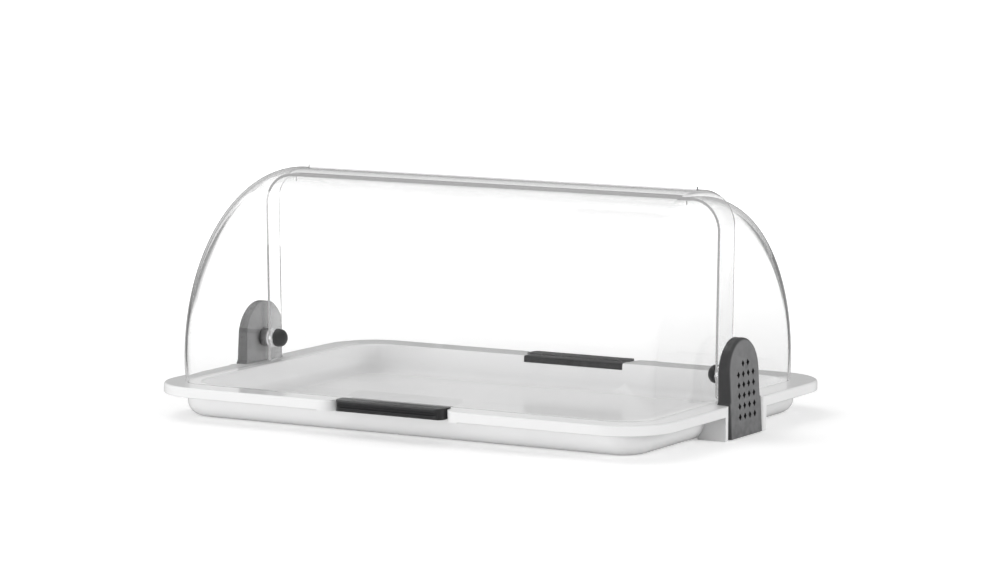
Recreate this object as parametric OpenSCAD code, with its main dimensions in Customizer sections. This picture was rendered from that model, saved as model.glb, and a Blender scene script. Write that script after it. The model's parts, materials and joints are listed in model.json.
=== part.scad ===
// Countertop bread display bin: a shallow white tray, two clear quarter-round covers that
// turn one inside the other on a shared pivot line, two end brackets and two rim grips.
// Millimetres, +Z up, X along the length, the front is at -Y, origin at the middle of the base.

/* [Tray] */
// overall length of the tray rim, end to end
rim_l = 450; // [430:1:470]
// overall depth of the tray rim, front to rear
rim_d = 314; // [310:1:324]
// plan radius of the rim corners
rim_r = 45; // [42:1:50]
// height of the rim's top face above the table
rim_z = 26.4; // [25:0.1:28]
// height of the rim's outer lip, top to bottom
lip_h = 8.0; // [6:0.1:10]
// thickness of the rim plate
rim_t = 3.0; // [2.5:0.1:3.5]
// distance from the rim's edge in to the outside of the basin wall
wall_in = 18.0; // [16:0.1:19]
// radius of the basin's bottom edge
bottom_r = 12.0; // [8:0.1:14]
// thickness of the basin floor
floor_t = 3.0; // [2:0.1:4]
// distance from the rim's front edge in to the basin's inner face
cavity_in_y = 26.5; // [25:0.1:27]
// distance from the rim's end in to the basin's inner face
cavity_in_x = 27.0; // [26:0.1:28]

/* [End blocks] */
// width of the block at the middle of each end
block_w = 68; // [64:1:74]

/* [Covers] */
// height of the pivot line above the table
pivot_z = 45.8; // [45:0.1:47]
// outside radius of the front cover, which is the outer one
front_r = 139.8; // [139:0.1:142]
// outside radius of the rear cover, which runs inside the front one
rear_r = 134.6; // [134:0.1:136]
// wall thickness of both covers
shell_t = 2.0; // [1.6:0.1:2.2]
// distance from the rim's end in to the front cover's end wall, where it is widest
end_in = 16.8; // [16.4:0.1:17]
// how much narrower each end wall is at the pivot line than at the arch
draft = 1.4; // [0.8:0.1:1.6]
// gap between the two covers' end walls
end_gap = 1.4; // [1.2:0.1:1.6]
// rounding radius between the front cover's arch and its end walls
end_r = 26.5; // [24:0.1:28]
// how far the front cover reaches behind the pivot line
front_lap = 12.0; // [10:0.1:12.4]
// how far the rear cover reaches in front of the pivot line
rear_lap = 8.4; // [7:0.1:10]
// height of the turned-up lip on the front cover
up_lip = 1.9; // [1.5:0.1:3]
// height of the turned-down lip on the rear cover
down_lip = 5.5; // [4:0.1:6]
// distance from each cover's end wall in to the end of its lip
lip_in = 32; // [30:1:42]

/* [Brackets] */
// half width of the bracket's lower part
bracket_w = 27.6; // [26:0.1:28]
// half width of the bracket's upper part, which is also its dome's radius
dome_r = 26.0; // [25:0.1:26.4]
// height of the bracket's dome centre
dome_z = 47.6; // [46:0.1:48]
// thickness of the bracket's walls
bracket_t = 2.2; // [1.8:0.1:2.4]
// inward lean of the bracket, in degrees
lean = 4.3; // [3.5:0.1:4.6]
// diameter of the round holes in the bracket
dot_d = 4.6; // [4:0.1:5]
// spacing of the round holes in the bracket
dot_p = 8.3; // [7.8:0.1:8.6]
// height of the lowest row of holes above the bracket's lower edge
dot_z = 14.5; // [13:0.1:16]
// distance from the rim's end in to the bracket's inner edge
flange_in = 12.4; // [11:0.1:13]
// height of the screw posts on the bracket's foot
post_h = 9; // [7:0.1:10]

/* [Pivots] */
// radius of the pivot pin
pin_r = 3.0; // [2.6:0.1:3.2]
// radius of the pivot washers
washer_r = 7.6; // [7:0.1:8]
// thickness of the outer and inner pivot washers
washer_t = 1.2; // [1:0.1:1.4]
// radius of the knob on the inner end of the pivot pin
knob_r = 7.2; // [6.8:0.1:7.6]
// height of the knob, with its dome
knob_h = 8.2; // [7:0.1:9]

/* [Grips] */
// half length of each grip
grip_x = 45; // [40:1:50]
// height of the grip's top above the rim
grip_up = 1.0; // [0.6:0.1:1.6]
// how far in from the rim's edge the grip stands above the rim
grip_in = 15.4; // [14:0.1:16]

/* [Hidden] */
$fn = 96;
e = 0.02;
rest = 0.3;                        // gap under a cover that rests on the rim
fit = 0.05;                        // radial clearance of the pins in their bores
slip = 0.1;                        // gap between flat faces that slide on each other
snug = 0.2;                        // gap around a piece that is set into another
hx = rim_l / 2;
hy = rim_d / 2;
lip_z = rim_z - lip_h;
base_z = rim_z + rest;
front_x = hx - end_in;
rear_x = front_x - shell_t - end_gap;
lip_x = front_x - lip_in;
rear_end_r = end_r - shell_t - 0.5;
drop = pivot_z - base_z;           // pivot line down to a closed cover's edge
cav_x = hx - cavity_in_x;
cav_y = hy - cavity_in_y;
cav_r = 27;
wall_x = hx - wall_in;
plate_x = hx + 1.0;                // outside of the bracket at the table
foot_z = 0.5;
hub_x = front_x - draft;             // the covers' end walls at the pivot line
rear_hub_x = rear_x - draft;
inner_x = rear_hub_x - shell_t;
knob_x = inner_x - slip - washer_t - slip;
knob_edge = 2.4;                   // height of the knob below its dome
knob_grip = 4.5;                   // how far the pin reaches into the knob
spacer_x = hub_x + slip + washer_t + slip;
spacer_r = 7.5;
boss_x = hx - 7.4;                 // inner face of the bracket's boss
boss_r = 8;
pin_end = boss_x + 1.6;
hub_r = 12;                        // flat part of an end wall round the pivot
flange_x = hx - flange_in;
flange_d = plate_x - flange_x + 6; // depth of the bracket's rim before it is cut back
skin = 1;                          // how far the bracket's rim stays inside its plate
foot_t = 2.3;
rib_t = 2.2;
screw_x = hx - 8.8;
screw_y = 17;
screw_r = 1.5;
head_r = 3.4;
head_h = 2.4;
seat_z = 14;                       // where the screw heads bear on the end block
screw_top = base_z + post_h - 3.1;
recess_r = 4;                      // rounding of the tray's edges beside a bracket or a grip
seat_drop = 5.2;                   // depth of the grip's inner part below the rim
tongue_x = 3;
tongue_d = 8;
tongue_t = 3.0;

function arc2(cx, cy, r, a0, a1, n = 10) =
    [for (i = [0:n]) [cx + r * cos(a0 + (a1 - a0) * i / n), cy + r * sin(a0 + (a1 - a0) * i / n)]];

// Cross-section of the rim, lip and basin: first number is the distance in from the rim's edge.
rim_profile = concat(
    [[rim_r, rim_z], [2.0, rim_z]],
    arc2(2.0, rim_z - 2.0, 2.0, 90, 175, 6),
    [[0.0, lip_z + 0.8]],
    arc2(0.8, lip_z + 0.8, 0.8, 190, 270, 3),
    [[2.4, lip_z], [2.9, rim_z - rim_t - 1.2]],
    arc2(4.1, rim_z - rim_t - 1.2, 1.2, 180, 90, 4),
    [[wall_in - 1.6, rim_z - rim_t]],
    arc2(wall_in - 1.6, rim_z - rim_t - 1.6, 1.6, 90, 0, 4),
    arc2(wall_in + 0.7 + bottom_r, bottom_r, bottom_r, 178, 270, 14),
    [[rim_r, 0]]);

// Cross-section of the hollow: first number is the distance in from its rim edge.
cavity_profile = concat(
    [[cav_r, rim_z + 2], [-1.2, rim_z + 2], [-1.2, rim_z]],
    arc2(-1.2, rim_z - 1.2, 1.2, 90, 0, 5),
    arc2(0.9 + 10, floor_t + 10, 10, 177, 270, 14),
    [[cav_r, floor_t]]);

module corner_sweep(profile, r) {
    rotate_extrude(angle = 90)
        polygon([for (p = profile) [max(r - p[0], 0), p[1]]]);
}

module side_sweep(profile, len) {
    rotate([90, 0, 90])
        linear_extrude(height = len, center = true)
            polygon([for (p = profile) [-p[0], p[1]]]);
}

// A rounded rectangle of half sizes ax and ay whose edge has the profile all round.
module pan(profile, ax, ay, r, z0, z1) {
    for (s = [[1, 1, 0], [-1, 1, 90], [-1, -1, 180], [1, -1, 270]])
        translate([s[0] * (ax - r), s[1] * (ay - r), 0])
            rotate([0, 0, s[2]])
                corner_sweep(profile, r);
    for (s = [0, 180]) {
        rotate([0, 0, s])
            translate([0, ay, 0])
                side_sweep(profile, 2 * (ax - r));
        rotate([0, 0, s + 90])
            translate([0, ax, 0])
                side_sweep(profile, 2 * (ay - r));
    }
    translate([-(ax - r), -(ay - r), z0])
        cube([2 * (ax - r), 2 * (ay - r), z1 - z0]);
}

// Moves what follows into the right-hand bracket's own leaning frame.
module leaned() {
    translate([plate_x, 0, foot_z])
        rotate([0, -lean, 0])
            children();
}

module recess() {
    leaned()
        translate([-bracket_t - snug, -bracket_w - snug, -4])
            cube([12, 2 * (bracket_w + snug), 44]);
    for (s = [1, -1])
        scale([1, s, 1])
            translate([0, bracket_w + snug, -1])
                linear_extrude(height = rim_z + 2)
                    difference() {
                        translate([hx - recess_r, -e])
                            square([recess_r + 1, recess_r + e]);
                        translate([hx - recess_r, recess_r])
                            circle(r = recess_r);
                    }
}

module screw_bores() {
    for (s = [1, -1])
        translate([screw_x, s * screw_y, -1]) {
            cylinder(r = head_r + 0.5, h = seat_z + 1);
            cylinder(r = screw_r + 0.35, h = rim_z + 10);
        }
}

// What is taken out of the front rim so that the grip sits in it.
module grip_notch() {
    translate([-grip_x - snug, -hy - 1, -1])
        cube([2 * (grip_x + snug), wall_in, rim_z + 3]);
    translate([-grip_x - snug, -hy, rim_z - seat_drop - snug])
        cube([2 * (grip_x + snug), cavity_in_y + 3, 10]);
    for (s = [1, -1])
        scale([s, 1, 1])
            translate([grip_x + snug, -hy, -1])
                linear_extrude(height = rim_z + 2)
                    difference() {
                        translate([-e, -1])
                            square([recess_r + e, recess_r + 1]);
                        translate([recess_r, recess_r])
                            circle(r = recess_r);
                    }
}

module tray_solid() {
    pan(rim_profile, hx, hy, rim_r, 0, rim_z);
    for (s = [1, -1])
        scale([s, 1, 1])
            translate([wall_x - 6, -block_w / 2, 0])
                cube([wall_in + 6, block_w, rim_z]);
}

module tray() {
    color("white")
        difference() {
            tray_solid();
            pan(cavity_profile, cav_x, cav_y, cav_r, floor_t, rim_z + 2);
            for (s = [1, -1]) {
                scale([s, 1, 1]) {
                    recess();
                    screw_bores();
                }
                scale([1, s, 1])
                    grip_notch();
            }
        }
}

// Outline of a cover's wall, from the pivot line out: first number is the radius.
function shell_outline(r, x, rr, t) = concat(
    [[0, x - draft], [hub_r, x - draft]], arc2(r - rr, x - rr, rr, 90, 0, 16),
    arc2(r - rr, -(x - rr), rr, 0, -90, 16), [[hub_r, -(x - draft)], [0, -(x - draft)]],
    [[0, -(x - draft - t)], [hub_r, -(x - draft - t)]],
    arc2(r - rr, -(x - rr), rr - t, -90, 0, 16),
    arc2(r - rr, x - rr, rr - t, 0, 90, 16), [[hub_r, x - draft - t], [0, x - draft - t]]);

// Side view of a cover that closes towards -Y, with lap reaching past the pivot line.
module cover_side(r, lap) {
    a = acos(lap / drop);
    polygon(concat(
        [[-r - 2, -drop], [0, -drop]],
        [for (i = [1:8]) [drop * sin((90 - a) * i / 8), -drop * cos((90 - a) * i / 8)]],
        [[lap, r + 8], [-r - 2, r + 8]]));
}

module shell(r, x, rr, lap) {
    difference() {
        intersection() {
            rotate([0, 90, 0])
                rotate_extrude($fn = 180)
                    polygon(shell_outline(r, x, rr, shell_t));
            rotate([90, 0, 90])
                linear_extrude(height = 2 * x + 4, center = true)
                    cover_side(r, lap);
        }
        rotate([0, 90, 0])
            cylinder(r = pin_r + fit, h = 2 * x + 10, center = true);
    }
}

module front_cover() {
    color([0.9, 0.95, 0.97, 0.3])
        translate([0, 0, pivot_z]) {
            shell(front_r, front_x, end_r, front_lap);
            translate([-lip_x, front_lap - 2.0, sqrt(front_r * front_r - front_lap * front_lap) - 1])
                cube([2 * lip_x, 2.0, up_lip + 1]);
        }
}

module rear_cover() {
    color([0.9, 0.95, 0.97, 0.3])
        translate([0, 0, pivot_z]) {
            scale([1, -1, 1])
                shell(rear_r, rear_x, rear_end_r, rear_lap);
            translate([-lip_x, -rear_lap, sqrt(rear_r * rear_r - rear_lap * rear_lap) - down_lip])
                cube([2 * lip_x, 2.0, down_lip - 0.8]);
        }
}

module bracket_outline(w, r) {
    translate([-w, 0])
        square([2 * w, dome_z - foot_z]);
    translate([0, dome_z - foot_z])
        circle(r = r);
}

module plate_outline() {
    bracket_outline(dome_r, dome_r);
    translate([-bracket_w, 0])
        square([2 * bracket_w, rim_z - foot_z]);
}

// Gives an outline the whole depth of the bracket's rim.
module bracket_depth() {
    leaned()
        rotate([90, 0, 90])
            translate([0, 0, -flange_d])
                linear_extrude(height = flange_d - skin)
                    children();
}

module right_bracket() {
    color([0.3, 0.3, 0.31])
        difference() {
            union() {
                leaned()
                    rotate([90, 0, 90])
                        translate([0, 0, -bracket_t])
                            linear_extrude(height = bracket_t)
                                plate_outline();
                // the rim all round, the foot that stands on the tray, and the middle rib
                difference() {
                    union() {
                        bracket_depth()
                            difference() {
                                bracket_outline(dome_r, dome_r);
                                bracket_outline(dome_r - bracket_t, dome_r - bracket_t);
                            }
                        intersection() {
                            translate([flange_x, -dome_r, base_z - 0.1])
                                cube([flange_in, 2 * dome_r, foot_t]);
                            bracket_depth()
                                bracket_outline(dome_r, dome_r);
                        }
                        intersection() {
                            translate([boss_x - skin, -rib_t / 2, base_z])
                                cube([flange_in, rib_t, dome_z + dome_r]);
                            bracket_depth()
                                bracket_outline(dome_r - skin, dome_r - skin);
                        }
                        for (s = [1, -1])
                            translate([screw_x, s * screw_y, base_z])
                                cylinder(r = head_r, h = post_h);
                        translate([boss_x, 0, pivot_z])
                            rotate([0, 90, 0])
                                cylinder(r = boss_r, h = bracket_t + 0.8);
                    }
                    // nothing but the plate reaches below the rim's top or in past the flange's edge
                    translate([0, -hy, -1])
                        cube([2 * hx, 2 * hy, base_z - 0.1 + 1]);
                    translate([0, -hy, -1])
                        cube([flange_x, 2 * hy, 2 * (dome_z + dome_r)]);
                }
            }
            // room for the spacer, the pin's end, the screws and the open pattern of holes
            translate([hub_x, 0, pivot_z])
                rotate([0, 90, 0]) {
                    cylinder(r = boss_r + 0.3, h = boss_x - hub_x);
                    cylinder(r = pin_r + fit, h = pin_end + snug - hub_x);
                }
            for (s = [1, -1])
                translate([screw_x, s * screw_y, base_z - 10])
                    cylinder(r = screw_r + fit, h = screw_top + 1.4 - (base_z - 10));
            leaned()
                for (row = [0:5])
                    for (col = [-1.5:1:1.5])
                        if (row < 5 || abs(col) < 1)
                            translate([-bracket_t - 0.4, col * dot_p, dot_z + row * dot_p])
                                rotate([0, 90, 0])
                                    cylinder(r = dot_d / 2, h = 2 * bracket_t);
        }
}

module left_bracket() {
    mirror([1, 0, 0])
        right_bracket();
}

module ring_x(x0, len, r, bore) {
    translate([x0, 0, pivot_z])
        rotate([0, 90, 0])
            difference() {
                cylinder(r = r, h = len);
                translate([0, 0, -1])
                    cylinder(r = bore, h = len + 2);
            }
}

module right_spacer() {
    color([0.08, 0.08, 0.08])
        ring_x(spacer_x, boss_x - spacer_x, spacer_r, pin_r + fit);
}

module right_outer_washer() {
    color("silver")
        ring_x(hub_x + slip, washer_t, washer_r, pin_r + fit);
}

module right_middle_washer() {
    color("silver")
        ring_x(rear_hub_x + slip, end_gap - 2 * slip, washer_r, pin_r + fit);
}

module right_inner_washer() {
    color("silver")
        ring_x(inner_x - slip - washer_t, washer_t, washer_r, pin_r + fit);
}

module right_pivot_pin() {
    color("silver")
        translate([knob_x - knob_grip, 0, pivot_z])
            rotate([0, 90, 0])
                cylinder(r = pin_r, h = pin_end - (knob_x - knob_grip));
}

module right_knob() {
    color([0.08, 0.08, 0.08])
        translate([knob_x, 0, pivot_z])
            rotate([0, -90, 0])
                difference() {
                    rotate_extrude()
                        polygon(concat([[0, 0], [knob_r, 0]],
                            [for (i = [0:10]) [knob_r * cos(i * 9),
                                knob_edge + (knob_h - knob_edge) * sin(i * 9)]]));
                    translate([0, 0, -1])
                        cylinder(r = pin_r + fit, h = knob_grip + 0.1 + 1);
                }
}

module right_bracket_screws() {
    color("silver")
        for (s = [1, -1])
            translate([screw_x, s * screw_y, seat_z - head_h]) {
                cylinder(r = head_r, h = head_h - e);
                cylinder(r = screw_r, h = screw_top - (seat_z - head_h));
            }
}

module left_spacer() {
    mirror([1, 0, 0])
        right_spacer();
}

module left_outer_washer() {
    mirror([1, 0, 0])
        right_outer_washer();
}

module left_middle_washer() {
    mirror([1, 0, 0])
        right_middle_washer();
}

module left_inner_washer() {
    mirror([1, 0, 0])
        right_inner_washer();
}

module left_pivot_pin() {
    mirror([1, 0, 0])
        right_pivot_pin();
}

module left_knob() {
    mirror([1, 0, 0])
        right_knob();
}

module left_bracket_screws() {
    mirror([1, 0, 0])
        right_bracket_screws();
}

// Section of the front grip, seen from its end: first number is the distance in from the rim's edge.
grip_profile = concat(
    [[wall_in - 1.5, lip_z + 0.4], [2.0, lip_z + 0.4]],
    arc2(1.6, lip_z + 2.2, 1.8, 270, 180, 4),
    [[-0.2, lip_z + 3.4], [1.0, lip_z + 4.0], [1.0, lip_z + 5.6], [-0.2, lip_z + 6.2]],
    arc2(2.3, rim_z + grip_up - 2.5, 2.5, 180, 90, 6),
    arc2(grip_in - 0.9, rim_z + grip_up - 0.9, 0.9, 90, 0, 4),
    [[grip_in, rim_z - 0.05]],
    arc2(cavity_in_y - 1.2, rim_z - 1.25, 1.2, 90, 0, 4),
    [[cavity_in_y, rim_z - seat_drop], [wall_in - 1.5, rim_z - seat_drop]]);

module front_grip() {
    color([0.08, 0.08, 0.08])
        translate([0, -hy, 0]) {
            intersection() {
                rotate([90, 0, 90])
                    linear_extrude(height = 2 * grip_x, center = true)
                        polygon(grip_profile);
                // the ends are round in plan at the outer edge
                translate([0, 0, -1])
                    linear_extrude(height = 60) {
                        translate([-grip_x + 3, -1])
                            square([2 * grip_x - 6, 60]);
                        translate([-grip_x, 2.8])
                            square([2 * grip_x, 60]);
                        for (s = [1, -1])
                            translate([s * (grip_x - 3), 2.8])
                                circle(r = 3);
                    }
            }
            // tongues at both ends that catch under the rim plate
            translate([-grip_x - tongue_x, 5, rim_z - rim_t - tongue_t - snug])
                cube([2 * (grip_x + tongue_x), tongue_d, tongue_t]);
        }
}

module rear_grip() {
    mirror([0, 1, 0])
        front_grip();
}

tray();
front_cover();
rear_cover();
left_bracket();
right_bracket();
left_spacer();
right_spacer();
left_outer_washer();
right_outer_washer();
left_middle_washer();
right_middle_washer();
left_inner_washer();
right_inner_washer();
left_pivot_pin();
right_pivot_pin();
left_knob();
right_knob();
left_bracket_screws();
right_bracket_screws();
front_grip();
rear_grip();
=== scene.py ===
# %% [markdown]
# # Roll-top bread display in Blender
# The display is a shallow white tray with a wide rim. Two clear quarter-round covers turn about
# one line, one inside the other, carried by a dark grey bracket at each end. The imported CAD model
# is loaded first, as a fixed frame. Every piece below is modelled around it, in metres, so nothing
# has to be fitted afterwards.

# %% Load the frame
import json
import math
import bmesh
import bpy
from mathutils import Matrix, Vector


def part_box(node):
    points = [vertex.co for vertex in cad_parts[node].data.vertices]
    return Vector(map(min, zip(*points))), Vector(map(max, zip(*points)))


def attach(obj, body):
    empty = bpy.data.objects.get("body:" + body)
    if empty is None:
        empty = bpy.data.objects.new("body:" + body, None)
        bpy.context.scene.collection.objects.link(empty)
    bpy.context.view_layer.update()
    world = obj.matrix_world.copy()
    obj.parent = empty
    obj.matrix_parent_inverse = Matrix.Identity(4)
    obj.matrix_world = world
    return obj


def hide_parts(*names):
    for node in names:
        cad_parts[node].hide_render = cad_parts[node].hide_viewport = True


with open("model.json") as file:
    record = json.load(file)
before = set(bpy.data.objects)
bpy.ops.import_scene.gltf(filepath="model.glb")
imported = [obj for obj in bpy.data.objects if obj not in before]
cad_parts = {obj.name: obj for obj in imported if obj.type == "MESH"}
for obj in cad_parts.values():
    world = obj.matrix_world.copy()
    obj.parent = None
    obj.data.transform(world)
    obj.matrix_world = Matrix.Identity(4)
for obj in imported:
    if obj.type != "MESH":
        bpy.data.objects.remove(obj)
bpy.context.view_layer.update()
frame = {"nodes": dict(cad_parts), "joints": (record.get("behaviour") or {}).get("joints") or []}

# %% [markdown]
# ## Sizes
# The main sizes come from the frame's own boxes and joints, so that a change in the CAD model
# carries through. Sizes that no box shows, such as walls and roundings, stand with their piece.

# %% Sizes read from the frame
MM = 0.001
QUARTER = math.pi / 2
PLAY = 0.2 * MM
PIVOT_Z = frame["joints"][0]["pos_m"][2]
tray_low, tray_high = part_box("tray")
RIM_Z = tray_high.z
PLATE_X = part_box("right_bracket")[1].x
GRIP_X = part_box("front_grip")[1].x
PIN_HOLE = 3.05 * MM
print("pivot line at", round(PIVOT_Z, 4), "rim at", round(RIM_Z, 4))

# %% [markdown]
# ## Helpers for modelling
# An operator acts on whatever is selected, so each piece starts by deselecting everything.
# `choose` selects points, edges or faces by a test on their place or normal, which is what a
# modeller does by eye.

# %% Selecting
def object_mode():
    if bpy.context.object and bpy.context.object.mode != "OBJECT":
        bpy.ops.object.mode_set(mode="OBJECT")
    bpy.ops.object.select_all(action="DESELECT")


def alone(piece):
    """Leaves one object selected and active, in object mode."""
    object_mode()
    piece.select_set(True)
    bpy.context.view_layer.objects.active = piece
    return piece


def edit(piece):
    alone(piece)
    bpy.ops.object.mode_set(mode="EDIT")
    bpy.ops.mesh.select_all(action="SELECT")


def done(piece):
    bpy.ops.object.mode_set(mode="OBJECT")
    return piece


def choose(kind, test):
    """Selects the points, edges or faces of the piece in edit mode that pass a test."""
    bpy.ops.mesh.select_mode(type=kind)
    bpy.ops.mesh.select_all(action="DESELECT")
    bm = bmesh.from_edit_mesh(bpy.context.edit_object.data)
    items = {"VERT": bm.verts, "EDGE": bm.edges, "FACE": bm.faces}[kind]
    hits = [item for item in items if test(item)]
    for item in hits:
        item.select_set(True)
    bm.select_flush_mode()
    bmesh.update_edit_mesh(bpy.context.edit_object.data)
    return len(hits)


print("helpers: alone, edit, done, choose")

# %% [markdown]
# A piece starts as a primitive and is shaped by a few steps: cut along a plane, drawn out, and
# resized or turned about a point that is always given. Its faces are turned outwards at the end.

# %% Shaping
def primitive(kind, name, at=(0, 0, 0), turn=(0, 0, 0), scale=(1, 1, 1), **size):
    """Adds a primitive at its size and place, with the place kept in its mesh."""
    object_mode()
    getattr(bpy.ops.mesh, "primitive_" + kind + "_add")(location=at, rotation=turn, **size)
    piece = bpy.context.object
    piece.name = piece.data.name = name
    piece.scale = scale
    bpy.ops.object.transform_apply(location=True, rotation=True, scale=True)
    return piece


def cut(co, no, clear=False):
    """Cuts the piece along a plane, and throws away the side its normal points to if asked."""
    bpy.ops.mesh.select_all(action="SELECT")
    bpy.ops.mesh.bisect(plane_co=co, plane_no=no, clear_outer=clear, threshold=1e-7)


def draw_faces(by):
    bpy.ops.mesh.extrude_region_move(TRANSFORM_OT_translate={"value": by})


def draw_edges(by):
    bpy.ops.mesh.extrude_edges_move(TRANSFORM_OT_translate={"value": by})


def turn_out():
    bpy.ops.mesh.select_all(action="SELECT")
    bpy.ops.mesh.normals_make_consistent(inside=False)


def closed(piece):
    """Turns all faces outwards and leaves edit mode."""
    turn_out()
    return done(piece)


print("helpers: primitive, cut, draw_faces, draw_edges, closed")

# %% [markdown]
# Modifiers finish a piece, and each is applied at once, so the next step works on the real mesh.
# A Boolean carves one piece with another. A mirrored copy has its faces turned outwards again.

# %% Finishing
SHARP = math.radians(50)


def modify(piece, kind, **values):
    """Adds a modifier, sets it up and applies it."""
    alone(piece)
    step = piece.modifiers.new(kind.lower(), kind)
    for key, value in values.items():
        setattr(step, key, value)
    bpy.ops.object.modifier_apply(modifier=step.name)
    return piece


def smooth(piece, angle=40):
    alone(piece)
    bpy.ops.object.shade_smooth_by_angle(angle=math.radians(angle))
    return piece


def round_edges(piece, width, segments=3):
    """Rounds the edges where two faces meet sharply, and shades the rest smoothly."""
    modify(piece, "BEVEL", width=width, segments=segments, limit_method="ANGLE",
           angle_limit=SHARP)
    return smooth(piece)


def carve(piece, cutter, operation="DIFFERENCE"):
    """Takes one piece from another, or keeps what they share, and throws the cutter away."""
    modify(piece, "BOOLEAN", object=cutter, operation=operation, solver="EXACT")
    bpy.data.objects.remove(cutter)
    return piece


def copy_of(piece, name, mirrored):
    """A mirrored copy with its own mesh, with its faces still pointing out."""
    twin = piece.copy()
    twin.data = piece.data.copy()
    twin.name = twin.data.name = name
    bpy.context.scene.collection.objects.link(twin)
    alone(twin)
    twin.scale = mirrored
    bpy.ops.object.transform_apply(location=False, rotation=False, scale=True)
    edit(twin)
    return closed(twin)


def place(piece, body, slot, material, *nodes):
    """Says what the piece moves with, which finish it has and which CAD nodes it stands for."""
    piece.data.materials.clear()
    piece.data.materials.append(material)
    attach(piece, body)
    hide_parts(*nodes)
    print(piece.name, "rides on", body, "with", len(piece.data.polygons), "faces")


print("helpers: modify, smooth, round_edges, carve, copy_of, place")

# %% [markdown]
# ## Finishes
# A material is a small net of nodes. These helpers add a node with its values, spread a value to
# another range, blend two values, and lay a noise on the piece by its own Object coordinates, so
# that the pattern moves with it.

# %% Node helpers
def link(tree, source, target):
    tree.links.new(source, target)


def add(tree, kind, **values):
    node = tree.nodes.new("ShaderNode" + kind)
    for key, value in values.items():
        if key in node.inputs:
            node.inputs[key].default_value = value
        else:
            setattr(node, key, value)
    return node


def ranged(tree, value, low, high, out_low, out_high):
    """Spreads a value from one range to another. The new ends are numbers or sockets."""
    node = add(tree, "MapRange", **{"From Min": low, "From Max": high})
    link(tree, value, node.inputs["Value"])
    for name, end in (("To Min", out_low), ("To Max", out_high)):
        if isinstance(end, float):
            node.inputs[name].default_value = end
        else:
            link(tree, end, node.inputs[name])
    return node.outputs["Result"]


def mixed(tree, factor, low, high, kind="FLOAT"):
    """Blends two numbers or two colours, either of them fixed or a socket."""
    node = add(tree, "Mix", data_type=kind)
    link(tree, factor, node.inputs["Factor"])
    for slot, value in (("A", low), ("B", high)):
        if isinstance(value, (float, tuple)):
            node.inputs[slot].default_value = value
        else:
            link(tree, value, node.inputs[slot])
    return node.outputs["Result"]


def calculated(tree, operation, *values):
    node = add(tree, "Math", operation=operation)
    for slot, value in zip(node.inputs, values):
        if isinstance(value, float):
            slot.default_value = value
        else:
            link(tree, value, slot)
    return node.outputs[0]


def length_of(tree, vector):
    node = add(tree, "VectorMath", operation="LENGTH")
    link(tree, vector, node.inputs[0])
    return node.outputs["Value"]


def noise(tree, **values):
    node = add(tree, "TexNoise", **values)
    link(tree, add(tree, "TexCoord").outputs["Object"], node.inputs["Vector"])
    return node


print("node helpers: link, add, ranged, mixed, calculated, length_of, noise")

# %% [markdown]
# An effect that several plastics share is a node group: the fine grain that a mould leaves, faint
# handling marks, and edges lightened in the base colour, partly as wear where fingers have rubbed
# them and partly as a painted highlight. The shaders themselves stay in each material.

# %% Groups
def group(name, inputs, outputs):
    """An empty node group with named sockets."""
    tree = bpy.data.node_groups.new(name, "ShaderNodeTree")
    for label, kind, value in inputs:
        socket = tree.interface.new_socket(name=label, in_out="INPUT",
                                           socket_type="NodeSocket" + kind)
        socket.default_value = value
    for label, kind in outputs:
        tree.interface.new_socket(name=label, in_out="OUTPUT", socket_type="NodeSocket" + kind)
    return tree, tree.nodes.new("NodeGroupInput"), tree.nodes.new("NodeGroupOutput")


def use(tree, made, **values):
    """Places a node group in a material with its own values."""
    node = tree.nodes.new("ShaderNodeGroup")
    node.node_tree = made
    for key, value in values.items():
        node.inputs[key].default_value = value
    return node


def make_mould_grain():
    tree, given, out = group(
        "mould_grain",
        [("Scale", "Float", 900.0), ("Low", "Float", 0.3), ("High", "Float", 0.5)],
        [("Height", "Float"), ("Roughness", "Float")])
    grain = noise(tree, Detail=4.0, Roughness=0.6)
    link(tree, given.outputs["Scale"], grain.inputs["Scale"])
    patches = noise(tree, Scale=22.0, Detail=3.0)
    rough = ranged(tree, patches.outputs["Fac"], 0.35, 0.65,
                   given.outputs["Low"], given.outputs["High"])
    link(tree, grain.outputs["Fac"], out.inputs["Height"])
    link(tree, rough, out.inputs["Roughness"])
    return tree


MOULD_GRAIN = make_mould_grain()
print("shared effect:", MOULD_GRAIN.name)

# %% [markdown]
# Pointiness picks out the outer edges, and a noise breaks the lighter line up, so that it isn't
# quite even. The lighter edge is partly wear and partly a painted highlight in the base colour.
# Smudges are broad and very faint: they only change how sharp a reflection is.

# %% Worn edges with painted highlight, and smudges
def make_edge_wear_and_highlight():
    tree, given, out = group(
        "edge_wear_and_highlight",
        [("Color", "Color", (0.1, 0.1, 0.1, 1)), ("Rubbed", "Color", (0.2, 0.2, 0.2, 1))],
        [("Color", "Color")])
    # Painted highlight together with wear: the outer edges are lightened in the base colour.
    shape = add(tree, "NewGeometry")
    edges = ranged(tree, shape.outputs["Pointiness"], 0.505, 0.56, 0.0, 1.0)
    worn = noise(tree, Scale=180.0, Detail=5.0)
    broken = ranged(tree, worn.outputs["Fac"], 0.35, 0.7, 0.2, 1.0)
    wear_highlight = mixed(tree, calculated(tree, "MULTIPLY", edges, broken), given.outputs["Color"],
                   given.outputs["Rubbed"], "RGBA")
    link(tree, wear_highlight, out.inputs["Color"])
    return tree


def make_smudges():
    tree, given, out = group(
        "smudges",
        [("Low", "Float", 0.0), ("High", "Float", 0.05)],
        [("Roughness", "Float"), ("Mask", "Float")])
    broad = noise(tree, Scale=9.0, Detail=5.0, Roughness=0.62, Distortion=0.6)
    mask = ranged(tree, broad.outputs["Fac"], 0.48, 0.78, 0.0, 1.0)
    rough = ranged(tree, mask, 0.0, 1.0, given.outputs["Low"], given.outputs["High"])
    link(tree, rough, out.inputs["Roughness"])
    link(tree, mask, out.inputs["Mask"])
    return tree


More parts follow.
